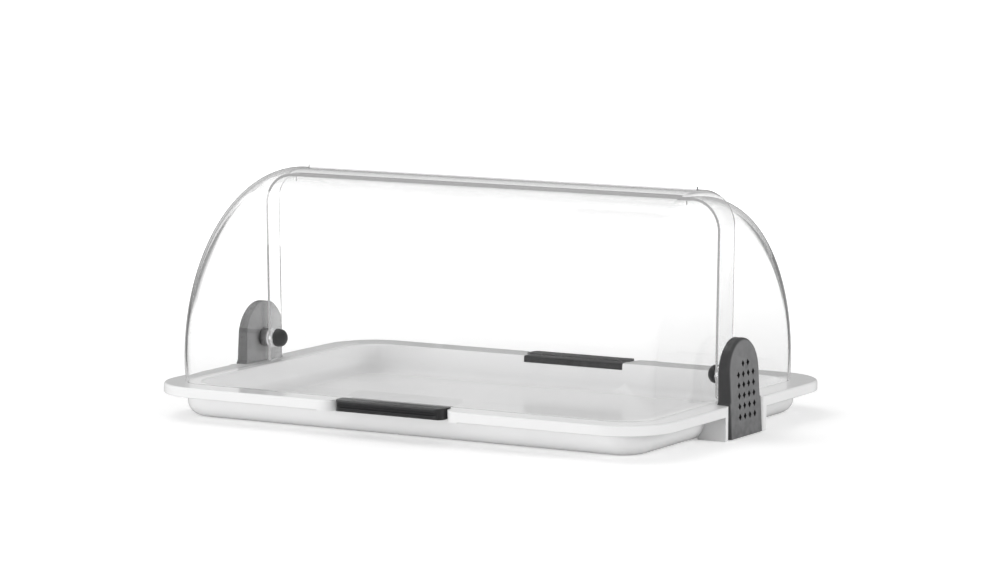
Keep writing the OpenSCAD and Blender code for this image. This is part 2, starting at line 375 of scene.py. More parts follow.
EDGE_WEAR_AND_HIGHLIGHT = make_edge_wear_and_highlight()
SMUDGES = make_smudges()
print("shared effects:", EDGE_WEAR_AND_HIGHLIGHT.name, SMUDGES.name)

# %% [markdown]
# The tray is gloss white plastic: almost even in colour, with a soft shine that is a little duller
# where it has been wiped, and the slight waviness of a large moulding.

# %% White plastic
def new_material(name):
    material = bpy.data.materials.new(name)
    material.use_nodes = True
    tree = material.node_tree
    return material, tree, tree.nodes["Principled BSDF"]


def bump(tree, shader, height, strength, distance):
    node = add(tree, "Bump", Strength=strength, Distance=distance)
    link(tree, height, node.inputs["Height"])
    link(tree, node.outputs["Normal"], shader.inputs["Normal"])


def make_white_plastic():
    material, tree, shader = new_material("white_plastic")
    cloud = noise(tree, Scale=14.0, Detail=4.0)
    tint = mixed(tree, cloud.outputs["Fac"], (0.86, 0.86, 0.862, 1), (0.9, 0.9, 0.9, 1), "RGBA")
    link(tree, tint, shader.inputs["Base Color"])
    wiped = use(tree, SMUDGES, Low=0.16, High=0.27)
    link(tree, wiped.outputs["Roughness"], shader.inputs["Roughness"])
    waves = noise(tree, Scale=26.0, Detail=2.0)
    bump(tree, shader, waves.outputs["Fac"], 0.10, 1 * MM)
    shader.inputs["IOR"].default_value = 1.5
    return material


WHITE = make_white_plastic()
print("plastic:", WHITE.name)

# %% [markdown]
# Grey and black parts are satin, with a fine grain. The brackets' broad faces are a lighter grey
# than their rims, as painted light: the material picks them by their normal, which points along
# the display, and gives them the lit grey while the rims keep the darker one.

# %% Grey and black plastic
def make_satin(name, colour, wear_highlight, low, high, grain, painted_lit_face=None):
    material, tree, shader = new_material(name)
    skin = use(tree, MOULD_GRAIN, Scale=grain, Low=low, High=high)
    edges = use(tree, EDGE_WEAR_AND_HIGHLIGHT, Color=(*colour, 1), Rubbed=(*wear_highlight, 1))
    # Painted light: faces whose normal points along the display take the lighter grey of a lit
    # side.
    if painted_lit_face:
        side = add(tree, "VectorMath", operation="ABSOLUTE")
        link(tree, add(tree, "NewGeometry").outputs["Normal"], side.inputs[0])
        parts = add(tree, "SeparateXYZ")
        link(tree, side.outputs[0], parts.inputs[0])
        broad = ranged(tree, parts.outputs["X"], 0.8, 0.995, 0.0, 1.0)
        link(tree, mixed(tree, broad, (*colour, 1), (*painted_lit_face, 1), "RGBA"), edges.inputs["Color"])
    link(tree, edges.outputs["Color"], shader.inputs["Base Color"])
    link(tree, skin.outputs["Roughness"], shader.inputs["Roughness"])
    bump(tree, shader, skin.outputs["Height"], 0.16, 0.2 * MM)
    return material


# The lighter grey given for the brackets' broad faces is painted light.
GREY = make_satin("grey_plastic", (0.042, 0.042, 0.043), (0.08, 0.08, 0.082), 0.38, 0.48, 1400.0,
                  painted_lit_face=(0.21, 0.21, 0.213))
BLACK = make_satin("black_plastic", (0.02, 0.02, 0.021), (0.045, 0.045, 0.046), 0.34, 0.44,
                   1100.0)
print("plastics:", GREY.name, BLACK.name)

# %% [markdown]
# The washers and pins are bright plated steel. Turning leaves fine rings round the pivot line, so
# the bump follows the distance from that line.

# %% Bright steel
def make_bright_steel():
    material, tree, shader = new_material("bright_steel")
    centre = add(tree, "Mapping", Location=(0, 0, -PIVOT_Z), Scale=(0, 1, 1))
    link(tree, add(tree, "TexCoord").outputs["Object"], centre.inputs["Vector"])
    rings = add(tree, "TexNoise", noise_dimensions="1D", Scale=4000.0, Detail=3.0)
    link(tree, length_of(tree, centre.outputs["Vector"]), rings.inputs["W"])
    link(tree, ranged(tree, rings.outputs["Fac"], 0.3, 0.7, 0.12, 0.26),
         shader.inputs["Roughness"])
    dull = use(tree, SMUDGES, Low=0.0, High=1.0)
    tint = mixed(tree, dull.outputs["Mask"], (0.86, 0.86, 0.865, 1), (0.7, 0.7, 0.71, 1), "RGBA")
    link(tree, tint, shader.inputs["Base Color"])
    shader.inputs["Metallic"].default_value = 1.0
    bump(tree, shader, rings.outputs["Fac"], 0.08, 0.1 * MM)
    return material


STEEL = make_bright_steel()
print("metal:", STEEL.name)

# %% [markdown]
# Clear moulded plastic is nearly invisible where it faces you and greys towards its outline. A
# real refraction gives the bright and dark lines, and Layer Weight deepens the outline with painted
# shade: the colour turns grey where a wall is seen edge-on. Light that only passes through, to
# light what is underneath, isn't bent: Light Path sets Alpha for those rays, so the tray under the
# covers stays as bright as it is in life. A ray caught between the two faces of a wall would run
# on until it is cut off, and leave a black line. After a few turns such a ray meets a pale grey
# emission, painted light that stands in for the grey that a real edge shows.

# %% Clear plastic
ENTRY_BAND = (0.82, 1.0)
EXIT_BAND = (0.235, 0.27)
TRAPPED_TURNS = (5.0, 9.0)
TRAPPED_LIGHT = 0.30
SHADOW_ALPHA = 0.02


def make_clear_plastic(name, middle, edge):
    material, tree, shader = new_material(name)
    shader.inputs["Transmission Weight"].default_value = 1.0
    shader.inputs["IOR"].default_value = 1.49
    # Painted shade: Layer Weight turns the colour from the clear middle to the grey edge colour
    # where a wall is seen edge-on.
    facing = add(tree, "LayerWeight", Blend=0.5).outputs["Facing"]
    outside = ranged(tree, facing, *ENTRY_BAND, 0.0, 1.0)
    inside = ranged(tree, facing, *EXIT_BAND, 0.0, 1.0)
    leaving = add(tree, "NewGeometry").outputs["Backfacing"]
    tint = mixed(tree, mixed(tree, leaving, outside, inside), (*middle, 1), (*edge, 1), "RGBA")
    link(tree, tint, shader.inputs["Base Color"])
    marks = use(tree, SMUDGES, Low=0.0, High=0.02)
    link(tree, marks.outputs["Roughness"], shader.inputs["Roughness"])
    path = add(tree, "LightPath").outputs
    passing = calculated(tree, "MAXIMUM", path["Is Shadow Ray"], path["Is Diffuse Ray"])
    link(tree, ranged(tree, passing, 0.0, 1.0, 1.0, SHADOW_ALPHA), shader.inputs["Alpha"])
    # Painted light: after a few turns inside a wall, the plastic glows with a pale grey emission.
    link(tree, ranged(tree, path["Ray Depth"], *TRAPPED_TURNS, 0.0, TRAPPED_LIGHT),
         shader.inputs["Emission Color"])
    shader.inputs["Emission Strength"].default_value = 1.0
    return material


# The grey second colour is the painted shade at the outline.
CLEAR = make_clear_plastic("clear_plastic", (0.995, 0.995, 0.995), (0.34, 0.34, 0.345))
print("clear plastic:", CLEAR.name)

# %% [markdown]
# ## Covers
# Each cover is a thin shell: a half outline of end wall, rounding, arch, rounding and end wall,
# turned about the pivot line. It could be a cut-down cylinder, but then the big soft roundings at
# the ends would be missing. So the outline starts as a plane, its far corners are rounded by a
# vertex bevel, its face is thrown away, and the line that is left is spun about the pivot. Planes
# then cut the lap edge and the foot, and Solidify gives the wall.

# %% Cover sizes
front_low, front_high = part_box("front_cover")
rear_low, rear_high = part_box("rear_cover")
FRONT = dict(radius=-front_low.y, half=front_high.x, reach=front_high.y, side=1)
REAR = dict(radius=rear_high.y, half=rear_high.x, reach=-rear_low.y, side=-1)
FRONT_ROUND, REAR_ROUND = 26.5 * MM, 24.0 * MM
COVER_DROP = PIVOT_Z - front_low.z
COVER_WALL = 2.0 * MM
COVER_DRAFT = 1.4 * MM
HUB_FLAT = 12 * MM
LIP_HALF = FRONT["half"] - 32 * MM
DOWN_LIP = 5.5 * MM
TINY = 1e-5
print("cover radii", round(FRONT["radius"], 4), round(REAR["radius"], 4))

# %% [markdown]
# The outline is cut where the end wall's flat hub stops, where the rounding starts and where the
# lip ends, so that the later steps find their points. The hub is set in a little, as the draft of
# the mould does.

# %% Cover shell
def outline(name, radius, half, end_round):
    height = radius - PIN_HOLE
    ob = primitive("plane", name, at=(0, 0, PIVOT_Z + PIN_HOLE + height / 2),
                   turn=(QUARTER, 0, 0), scale=(2 * half, height, 1), size=1)
    edit(ob)
    top = PIVOT_Z + radius
    cut((0, 0, PIVOT_Z + HUB_FLAT), (0, 0, 1))
    cut((0, 0, top - end_round), (0, 0, 1))
    for x in (-LIP_HALF, LIP_HALF):
        cut((x, 0, 0), (1, 0, 0))
    choose("VERT", lambda v: abs(v.co.x) > half - MM and v.co.z < PIVOT_Z + HUB_FLAT + MM)
    bpy.ops.transform.resize(value=((half - COVER_DRAFT) / half, 1, 1),
                             center_override=(0, 0, 0))
    choose("VERT", lambda v: abs(v.co.x) > half - MM and v.co.z > top - MM)
    bpy.ops.mesh.bevel(offset=end_round * 0.9999, segments=18, profile=0.5, affect="VERTICES",
                       clamp_overlap=False)
    choose("FACE", lambda f: True)
    bpy.ops.mesh.delete(type="ONLY_FACE")

    def inside(e):
        a, b = e.verts[0].co, e.verts[1].co
        level = abs(a.z - b.z) < TINY / 10 and a.z < top - TINY
        upright = abs(a.x - b.x) < TINY / 10 and abs(abs(a.x) - LIP_HALF) < TINY
        return level or upright

    choose("EDGE", inside)
    bpy.ops.mesh.delete(type="EDGE")
    choose("VERT", lambda v: not v.link_edges)
    bpy.ops.mesh.delete(type="VERT")
    bpy.ops.mesh.select_all(action="SELECT")
    bpy.ops.mesh.remove_doubles(threshold=TINY)
    return ob


def cover_shell(name, end_round, radius, half, reach, side):
    ob = outline(name, radius, half, end_round)
    bpy.ops.mesh.spin(steps=180, angle=2 * math.pi, use_auto_merge=True,
                      center=(0, 0, PIVOT_Z), axis=(1, 0, 0))
    bpy.ops.mesh.select_all(action="SELECT")
    bpy.ops.mesh.remove_doubles(threshold=TINY)
    cut((0, side * reach, 0), (0, side, 0), clear=True)
    cut((0, 0, PIVOT_Z - COVER_DROP), (0, 0, -1), clear=True)
    corner, steps = math.asin(reach / COVER_DROP), 8
    for i in range(1, steps + 1):
        turn = corner * (i - 0.5) / steps
        out = Vector((0, side * math.sin(turn), -math.cos(turn)))
        cut(Vector((0, 0, PIVOT_Z)) + out * COVER_DROP, out, clear=True)
    cut((0, side * (reach - COVER_WALL), 0), (0, 1, 0))
    closed(ob)
    return modify(ob, "SOLIDIFY", thickness=COVER_WALL, offset=-1, use_even_offset=True)


front_cover = cover_shell("front_cover_shell", FRONT_ROUND, **FRONT)
rear_cover = cover_shell("rear_cover_shell", REAR_ROUND, **REAR)
print("cover faces", len(front_cover.data.polygons), len(rear_cover.data.polygons))

# %% [markdown]
# The lap edge of each cover has a lip between its roundings: the front cover's turns up, the rear
# one's turns down. They are drawn out of the wall itself, so each cover stays one moulding. The
# faces of the last 2 mm of wall are picked by their place, extruded, and flattened.

# %% Lips
def lip(ob, radius, reach, side, to_z=None, by=0.0):
    edit(ob)
    edge_z = PIVOT_Z + math.sqrt(radius ** 2 - reach ** 2)
    to_z = to_z or edge_z + by
    up = 1 if to_z > edge_z else -1
    low, high = sorted((side * reach, side * (reach - COVER_WALL)))

    def on_lip(f):
        c = f.calc_center_median()
        on_edge = low < c.y < high and abs(c.x) < LIP_HALF and abs(c.z - edge_z) < 4 * MM
        return up * f.normal.z > 0.9 and on_edge

    print(ob.name, "lip faces", choose("FACE", on_lip))
    draw_faces((0, 0, to_z - edge_z))
    bpy.ops.transform.resize(value=(1, 1, 0), center_override=(0, 0, to_z))
    return smooth(done(ob), 35)


lip(front_cover, FRONT["radius"], FRONT["reach"], FRONT["side"], to_z=front_high.z)
lip(rear_cover, REAR["radius"], REAR["reach"], REAR["side"], by=-DOWN_LIP)
place(front_cover, "front_cover_body", "clear_plastic", CLEAR, "front_cover")
place(rear_cover, "rear_cover_body", "clear_plastic", CLEAR, "rear_cover")

# %% [markdown]
# ## Tray and grips
# Their solids already have the right shape, but a CAD mesh is loose triangles with knife-sharp
# edges. A copy is merged and its flat triangles are dissolved into clean faces, which can then be
# cut, rounded and shaded like any modelled piece.

# %% Moulded copies of the solids
def moulded(node, name):
    source = frame["nodes"][node]
    ob = bpy.data.objects.new(name, source.data.copy())
    ob.data.name = name
    bpy.context.scene.collection.objects.link(ob)
    edit(ob)
    bpy.ops.mesh.remove_doubles(threshold=2e-6)
    bpy.ops.mesh.dissolve_limited(angle_limit=math.radians(0.3))
    return done(ob)


def weigh_normals(piece):
    """Lets the broad faces stay flat in the shading, and the small ones take the bend."""
    return modify(piece, "WEIGHTED_NORMAL", keep_sharp=True, weight=60)


tray = moulded("tray", "tray_moulding")
front_grip = moulded("front_grip", "front_grip_moulding")
print("merged faces", len(tray.data.polygons), len(front_grip.data.polygons))

# %% [markdown]
# The plate of each bracket hangs in a recess of the rim. In the picture the plate is narrower
# than in the solids and leans in a little towards its top, so the recess is drawn in to it and a
# pocket that leans the same way is cut behind it.

# %% Bracket recess
FOOT_Z = 0.5 * MM
PLATE_WALL = 4.1 * MM
PLATE_HALF = 26.6 * MM
BRACKET_LEAN = math.radians(3.15)
RECESS_X, RECESS_Y, RECESS_ROUND = tray_high.x - 6 * MM, 27.8 * MM, 4 * MM


def lean_in(side=1):
    """Leans what is selected in towards the display, about the foot of the bracket."""
    bpy.ops.transform.rotate(value=side * BRACKET_LEAN, orient_axis="Y",
                             center_override=(side * PLATE_X, 0, FOOT_Z))


def in_recess(side):
    near, far = RECESS_Y - PLAY / 2, RECESS_Y + RECESS_ROUND + PLAY / 2
    return lambda v: abs(v.co.x) > RECESS_X and near < side * v.co.y < far


edit(tray)
for side in (-1, 1):
    moved = choose("VERT", in_recess(side))
    bpy.ops.transform.translate(value=(0, side * (PLATE_HALF + PLAY - RECESS_Y), 0))
    print("recess corner points moved", moved)
done(tray)
for side in (-1, 1):
    pocket = primitive("cube", "pocket", at=(side * PLATE_X, 0, FOOT_Z), size=1,
                       scale=(2 * (PLATE_WALL + PLAY), 2 * (PLATE_HALF + PLAY), 4 * RIM_Z))
    edit(pocket)
    lean_in(side)
    carve(tray, done(pocket))
print("tray faces after the pockets", len(tray.data.polygons))

# %% [markdown]
# The rim swings round softly beside each grip. The waste is a block less a cylinder. The lip that
# hangs from the rim follows the same round, so a short piece of ring is put back under it. Both
# are modelled for one corner and mirrored to the other three. Two cuts on each side of the grip
# come first, and keep the Boolean away from the rest of the rim.

# %% Notch corners
NOTCH_ROUND = 14 * MM
LIP_WALL = 2.7 * MM
LIP_Z = 18 * MM
OVERLAP = 0.8 * MM


def notch_corner(name, kept, top):
    """What rounds the rim at the right end of the front grip: the waste, or the lip left."""
    x, y = GRIP_X + PLAY, tray_low.y
    middle = (x + NOTCH_ROUND, y + NOTCH_ROUND, top)
    tall = 2 * (top - LIP_Z) if kept else 3 * RIM_Z
    wide = NOTCH_ROUND + (MM if kept else 5 * MM)
    ob = primitive("cube", name, at=(middle[0] - wide / 2, y + NOTCH_ROUND / 2 - MM / 2, top),
                   size=1, scale=(wide, NOTCH_ROUND + MM, tall))
    cylinder = dict(at=middle, vertices=96, depth=4 * RIM_Z)
    rounding = primitive("cylinder", "rounding", radius=NOTCH_ROUND, **cylinder)
    carve(ob, rounding, "INTERSECT" if kept else "DIFFERENCE")
    if kept:
        carve(ob, primitive("cylinder", "hollow", radius=NOTCH_ROUND - LIP_WALL, **cylinder))
    return ob


edit(tray)
for side in (-1, 1):
    for reach in (NOTCH_ROUND + OVERLAP, NOTCH_ROUND + 4 * MM):
        cut((side * (GRIP_X + reach), 0, 0), (1, 0, 0))
done(tray)
lip_middle = (RIM_Z + LIP_Z) / 2 - 0.6 * MM
for kept, top, operation in ((False, RIM_Z, "DIFFERENCE"), (True, lip_middle, "UNION")):
    corner = notch_corner("notch_corner", kept, top)
    for turned in ((-1, 1, 1), (1, -1, 1), (-1, -1, 1)):
        carve(tray, copy_of(corner, "turned_corner", turned), operation)
    carve(tray, corner, operation)
weigh_normals(smooth(tray, 28))
place(tray, "base", "white_plastic", WHITE, "tray")

# %% [markdown]
# A grip is a black bar set into the notch. Its copy is stretched until the bar itself fills the
# notch, and cut to an outline with soft corners, which takes off the tongues that are out of
# sight. The rear grip is its mirror image.

# %% Grips
GRIP_STRETCH = GRIP_X / (GRIP_X - 3 * MM)
GRIP_ROUND = 8 * MM


def grip_outline(name, low, high):
    """The grip's shape from above: a bar with soft outer corners."""
    ob = primitive("plane", name, at=(0, (low.y + high.y) / 2 + 4 * MM, low.z - MM),
                   scale=(2 * GRIP_X, high.y - low.y + 8 * MM, 1), size=1)
    edit(ob)
    choose("VERT", lambda v: v.co.y < low.y + MM)
    bpy.ops.mesh.bevel(offset=GRIP_ROUND, segments=10, profile=0.5, affect="VERTICES")
    choose("FACE", lambda f: True)
    draw_faces((0, 0, high.z - low.z + 2 * MM))
    return closed(ob)


edit(front_grip)
bpy.ops.transform.resize(value=(GRIP_STRETCH, 1, 1), center_override=(0, 0, 0))
carve(done(front_grip), grip_outline("grip_outline", *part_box("front_grip")), "INTERSECT")
weigh_normals(round_edges(front_grip, 0.6 * MM))
rear_grip = smooth(copy_of(front_grip, "rear_grip_moulding", (1, -1, 1)))
place(front_grip, "base", "black_plastic", BLACK, "front_grip")
place(rear_grip, "base", "black_plastic", BLACK, "rear_grip")

# %% [markdown]
# ## Brackets
# A bracket is a domed cap that stands on the rim, with a thin plate that hangs down in front of
# the end block. It starts as a half circle. Its lower edge is drawn down to the table, with a
# small step out where the plate is wider. The face is drawn in to its thickness, and the part
# above the rim is drawn in further. The whole is then leaned in and its outer edge rounded.

# %% Bracket body
REST_Z = RIM_Z + PLAY
FLANGE_X = PLATE_X - 12.2 * MM
DOME_HALF, DOME_Z = 25.2 * MM, 50.3 * MM
STEP_Z, STEP_TALL = 29.2 * MM, 1.6 * MM
BRACKET_ROUND = 2.6 * MM


def bracket_body(name):
    ob = primitive("circle", name, at=(PLATE_X, 0, DOME_Z), turn=(0, QUARTER, 0), vertices=96,
                   radius=DOME_HALF, fill_type="NGON")
    edit(ob)
    cut((0, 0, DOME_Z), (0, 0, -1), clear=True)
    choose("EDGE", lambda e: all(abs(v.co.z - DOME_Z) < 1e-6 for v in e.verts))
    draw_edges((0, 0, STEP_Z - DOME_Z))
    draw_edges((0, 0, -STEP_TALL))
    bpy.ops.transform.resize(value=(1, PLATE_HALF / DOME_HALF, 1), center_override=(0, 0, 0))
    draw_edges((0, 0, FOOT_Z - STEP_Z + STEP_TALL))
    choose("FACE", lambda f: True)
    bpy.ops.mesh.dissolve_faces()
    choose("FACE", lambda f: True)
    draw_faces((-PLATE_WALL, 0, 0))
    cut((0, 0, REST_Z), (0, 0, 1))
    turn_out()
    choose("FACE", lambda f: f.normal.x < -0.9 and f.calc_center_median().z > REST_Z)
    draw_faces((FLANGE_X - PLATE_X + PLATE_WALL, 0, 0))
    choose("FACE", lambda f: f.normal.x > 0.9)
    bpy.ops.mesh.dissolve_faces()
    choose("EDGE", lambda e: all(abs(v.co.x - PLATE_X) < 1e-6 for v in e.verts)
           and not all(v.co.z < FOOT_Z + 1e-6 for v in e.verts))
    bpy.ops.mesh.bevel(offset=BRACKET_ROUND, segments=5, affect="EDGES", clamp_overlap=False)
    bpy.ops.mesh.select_all(action="SELECT")
    lean_in()
    return done(ob)


def flatten_back(ob):
    """Sets the leaned back face upright on the spacer, and the underside level on the rim."""
    edit(ob)
    choose("VERT", lambda v: v.co.x < PLATE_X - 8 * MM)
    bpy.ops.transform.resize(value=(0, 1, 1), center_override=(FLANGE_X, 0, 0))
    choose("VERT", lambda v: v.co.x < PLATE_X - PLATE_WALL and abs(v.co.z - REST_Z) < 1.2 * MM)
    bpy.ops.transform.resize(value=(1, 1, 0), center_override=(0, 0, REST_Z))
    return done(ob)


right_bracket = flatten_back(bracket_body("right_bracket_moulding"))
print("bracket faces before the holes", len(right_bracket.data.polygons))

# %% [markdown]
# The outer face has rows of small diamond-shaped holes: four in each of five rows and two above.
# One hole is a cylinder with four sides, and an Array repeats it along and up.

# %% Holes
HOLE_WIDE, HOLE_TALL, HOLE_DEEP = 4.6 * MM, 5.4 * MM, 3.7 * MM
HOLE_PITCH, HOLE_MIDDLE, HOLE_LOW = 8.05 * MM, 1.9 * MM, 15.8 * MM


def diamonds(name, y, z, columns, rows):
    ob = primitive("cylinder", name, at=(PLATE_X, y, z), turn=(0, QUARTER, 0), vertices=4,
                   radius=1, depth=1)
    edit(ob)
    bpy.ops.transform.resize(value=(2 * HOLE_DEEP, 1, 1), center_override=(PLATE_X, 0, 0))
    bpy.ops.transform.resize(value=(1, HOLE_WIDE / 2, HOLE_TALL / 2), center_override=(0, y, z))
    done(ob)
    for count, step in ((columns, (0, HOLE_PITCH, 0)), (rows, (0, 0, HOLE_PITCH))):
        modify(ob, "ARRAY", count=count, use_relative_offset=False, use_constant_offset=True,
               constant_offset_displace=step)
    edit(ob)
    lean_in()
    return done(ob)


first_y = HOLE_MIDDLE - 1.5 * HOLE_PITCH
carve(right_bracket, diamonds("holes", first_y, HOLE_LOW, 4, 5))
carve(right_bracket, diamonds("top_holes", first_y + HOLE_PITCH, HOLE_LOW + 5 * HOLE_PITCH, 2, 1))
print("bracket faces after the holes", len(right_bracket.data.polygons))

# %% [markdown]
# Hidden bores take the spacer, the pin and the two screws, at the places of their solids. Then
# the edges are softened and a mirrored copy serves the left end.

# %% Bores
SCREW_HEAD, SCREW_HOLE = 3.4 * MM, 1.6 * MM


def bore(at, radius, depth, turn=(0, 0, 0)):
    return primitive("cylinder", "bore", at=at, turn=turn, vertices=48, radius=radius, depth=depth)


def across_bore(x, radius, depth):
    return bore((x, 0, PIVOT_Z), radius, depth, (0, QUARTER, 0))


low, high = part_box("right_spacer")
carve(right_bracket, across_bore(FLANGE_X, (high.y - low.y) / 2 + 0.3 * MM,
                                 2 * (high.x - FLANGE_X) + PLAY))
low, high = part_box("right_pivot_pin")
carve(right_bracket, across_bore(high.x, PIN_HOLE, 2 * PLAY))
low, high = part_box("right_bracket_screws")
for y in (low.y + SCREW_HEAD, high.y - SCREW_HEAD):
    carve(right_bracket, bore(((low.x + high.x) / 2, y, high.z), SCREW_HOLE,
                              2 * (high.z - REST_Z) + 2 * PLAY))
weigh_normals(round_edges(right_bracket, 0.25 * MM, 2))
left_bracket = smooth(copy_of(right_bracket, "left_bracket_moulding", (-1, 1, 1)))
place(right_bracket, "base", "grey_plastic", GREY, "right_bracket")
place(left_bracket, "base", "grey_plastic", GREY, "left_bracket")

# %% [markdown]
# ## Pivots
# Each end has a pin with a black knob on its inner end, a black spacer against the bracket, and
# three bright washers: outside, between and inside the two end walls. A ring is modelled from a
# circle by inset and extrude, from the size of its solid, and mirrored to the other end.

# %% Rings
def disc(name, x, radius, points, turn=QUARTER, fill="NGON"):
    return primitive("circle", name, at=(x, 0, PIVOT_Z), turn=(0, turn, 0), vertices=points,
                     radius=radius, fill_type=fill)


def ring(name, low, high, edge):
    radius = (high.y - low.y) / 2
    ob = disc(name, low.x, radius, 72)
    edit(ob)
    bpy.ops.mesh.inset(thickness=radius - PIN_HOLE, use_even_offset=False)
    bpy.ops.mesh.delete(type="FACE")
    bpy.ops.mesh.select_all(action="SELECT")
    draw_faces((high.x - low.x, 0, 0))
    return round_edges(closed(ob), edge)


def both_ends(make, part, slot, material, **size):
    """Models the right-hand piece from the box of its CAD node, and mirrors it to the left."""
    right = make("right_" + part + "_piece", *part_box("right_" + part), **size)
    left = smooth(copy_of(right, "left_" + part + "_piece", (-1, 1, 1)))
    place(right, "base", slot, material, "right_" + part)
    place(left, "base", slot, material, "left_" + part)


for part in ("outer_washer", "middle_washer", "inner_washer"):
    both_ends(ring, part, "bright_steel", STEEL, edge=0.15 * MM)
both_ends(ring, "spacer", "black_plastic", BLACK, edge=0.5 * MM)

# %% [markdown]
# The pin is a plain turned rod with chamfered ends. The knob is a low dome: a circle is drawn up
# in steps, each a little narrower than the last, and its open end goes over the pin.

# %% Pins and knobs
KNOB_STRAIGHT, KNOB_STEPS, KNOB_HOLE = 2.4 * MM, 12, 4.6 * MM


def pin(name, low, high):
    ob = disc(name, low.x, (high.y - low.y) / 2, 48)
    edit(ob)
    draw_faces((high.x - low.x, 0, 0))
    return round_edges(closed(ob), 0.5 * MM, 2)


def narrow(by):
    bpy.ops.transform.resize(value=(1, by, by), center_override=(0, 0, PIVOT_Z))


def knob(name, low, high):
    radius, tall = (high.y - low.y) / 2, high.x - low.x
    ob = disc(name, high.x, radius, 72, -QUARTER, "NOTHING")
    edit(ob)
    draw_edges((-KNOB_STRAIGHT, 0, 0))
    last_r, last_x = radius, KNOB_STRAIGHT
    for i in range(1, KNOB_STEPS):
        turn = QUARTER * i / KNOB_STEPS
        now_r = radius * math.cos(turn)
        now_x = KNOB_STRAIGHT + (tall - KNOB_STRAIGHT) * math.sin(turn)
        draw_edges((last_x - now_x, 0, 0))
        narrow(now_r / last_r)
        last_r, last_x = now_r, now_x
    bpy.ops.mesh.edge_face_add()
    bpy.ops.mesh.poke()
    choose("EDGE", lambda e: all(v.co.x > high.x - 1e-6 for v in e.verts))
    draw_edges((0, 0, 0))
    narrow(PIN_HOLE / radius)
    draw_edges((-KNOB_HOLE, 0, 0))
    bpy.ops.mesh.edge_face_add()
    bpy.ops.mesh.select_all(action="SELECT")
    bpy.ops.mesh.remove_doubles(threshold=1e-6)
    return round_edges(closed(ob), 0.4 * MM)


both_ends(pin, "pivot_pin", "bright_steel", STEEL)
both_ends(knob, "knob", "black_plastic", BLACK)

# %% [markdown]
# The bracket screws are seen only from below, deep in their holes. Their solids are kept and take
# the bright steel.

# %% Screws
for end in ("left", "right"):
    node = frame["nodes"][end + "_bracket_screws"]
    node.data.materials.clear()
    node.data.materials.append(STEEL)
print("screws keep their solids")

# %% [markdown]
# ## Floor, light and camera
# The picture has a pure white ground with a faint soft shadow. The floor is white, and a little
# of its own light is added for the camera, so it reads white without more light on the object. A
# clear piece shows only what stands round it. In the picture white paper lies under and behind
# it, and the room to the sides is darker, which draws the grey lines along its edges. So Light
# Path gives the floor a strip of white paper along the camera's line and a white patch all round
# the object, and lets the rest go dark for light that was bent or reflected inside a wall.

# %% Floor
CAM_TURN = math.radians(30.34)
CAM_AWAY = 3.3602
PAPER_EDGE = (0.080, 0.115)
PAPER_DARK = 0.12
NEAR_PAPER = (0.8, 1.3)
FLOOR_WHITE = 0.8
FLOOR_GLOW, GLOW_REACH = (0.41, 0.90), (0.25, 1.2)
FLOOR_SHINE = 0.35


def off_centre(tree, vector, away):
    """The angle from the picture's middle line, seen from so far in front of the object."""
    parts = []
    for axis in ((math.cos(CAM_TURN), math.sin(CAM_TURN), 0),
                 (-math.sin(CAM_TURN), math.cos(CAM_TURN), 0)):
        dot = add(tree, "VectorMath", operation="DOT_PRODUCT")
        link(tree, vector, dot.inputs[0])
        dot.inputs[1].default_value = axis
        parts.append(dot.outputs["Value"])
    turn = calculated(tree, "ARCTAN2", parts[0], calculated(tree, "ADD", parts[1], away))
    return calculated(tree, "ABSOLUTE", turn)


def paper(tree, spot, distance, path):
    """How white the floor is for a ray that comes through a clear wall."""
    # Painted shade for the clear walls: off the strip and away from the near patch, a bent or
    # reflected ray finds the floor dark, which draws grey lines on the covers.
    strip = ranged(tree, off_centre(tree, spot, CAM_AWAY), *PAPER_EDGE, 1.0, PAPER_DARK)
    near = ranged(tree, distance, *NEAR_PAPER, 1.0, 0.0)
    straight = ranged(tree, path["Glossy Depth"], 0.0, 1.0, 1.0, 0.0)
    return calculated(tree, "MAXIMUM", strip, calculated(tree, "MULTIPLY", near, straight))


def make_floor():
    material, tree, shader = new_material("studio_floor")
    tree.nodes.remove(shader)
    spot = add(tree, "TexCoord").outputs["Object"]
    path = add(tree, "LightPath").outputs
    distance = length_of(tree, spot)
    # For gloss the floor is dimmed to FLOOR_SHINE, and through clear walls it takes the painted
    # shade from paper(); the camera and the light see it white.
    level = mixed(tree, path["Is Glossy Ray"], 1.0, FLOOR_SHINE)
    level = mixed(tree, path["Is Transmission Ray"], level, paper(tree, spot, distance, path))
    level = mixed(tree, path["Is Diffuse Ray"], level, 1.0)
    plain = add(tree, "BsdfDiffuse")
    link(tree, calculated(tree, "MULTIPLY", level, FLOOR_WHITE), plain.inputs["Color"])
    glow = ranged(tree, distance, *GLOW_REACH, *FLOOR_GLOW)
    glow = mixed(tree, path["Is Diffuse Ray"], calculated(tree, "MULTIPLY", glow, level), 0.0)
    shine = add(tree, "Emission")
    link(tree, glow, shine.inputs["Strength"])
    total = add(tree, "AddShader")
    link(tree, plain.outputs[0], total.inputs[0])
    link(tree, shine.outputs[0], total.inputs[1])
    link(tree, total.outputs[0], tree.nodes["Material Output"].inputs["Surface"])
    return material


floor = primitive("plane", "studio_floor", at=(0, 0, -PLAY), size=24)
edit(floor)
bpy.ops.mesh.subdivide(number_cuts=3)
done(floor)
floor.data.materials.append(make_floor())
print("floor corners", len(floor.data.vertices))

# %% [markdown]
# The world is plain white for the camera and a soft grey as light. Gloss shows it darker, so that
# the plastics don't wash out, and clear walls show the white paper behind and the darker room.

# %% World
SKY_LIGHT = 0.45
SKY_BAND = (0.12, 0.5)
SKY_EDGE = (0.25, 0.7)
THROUGH_LOW, THROUGH_HIGH = 1.05, 0.2
SHINE_LOW, SHINE_HIGH = 0.30, 0.45


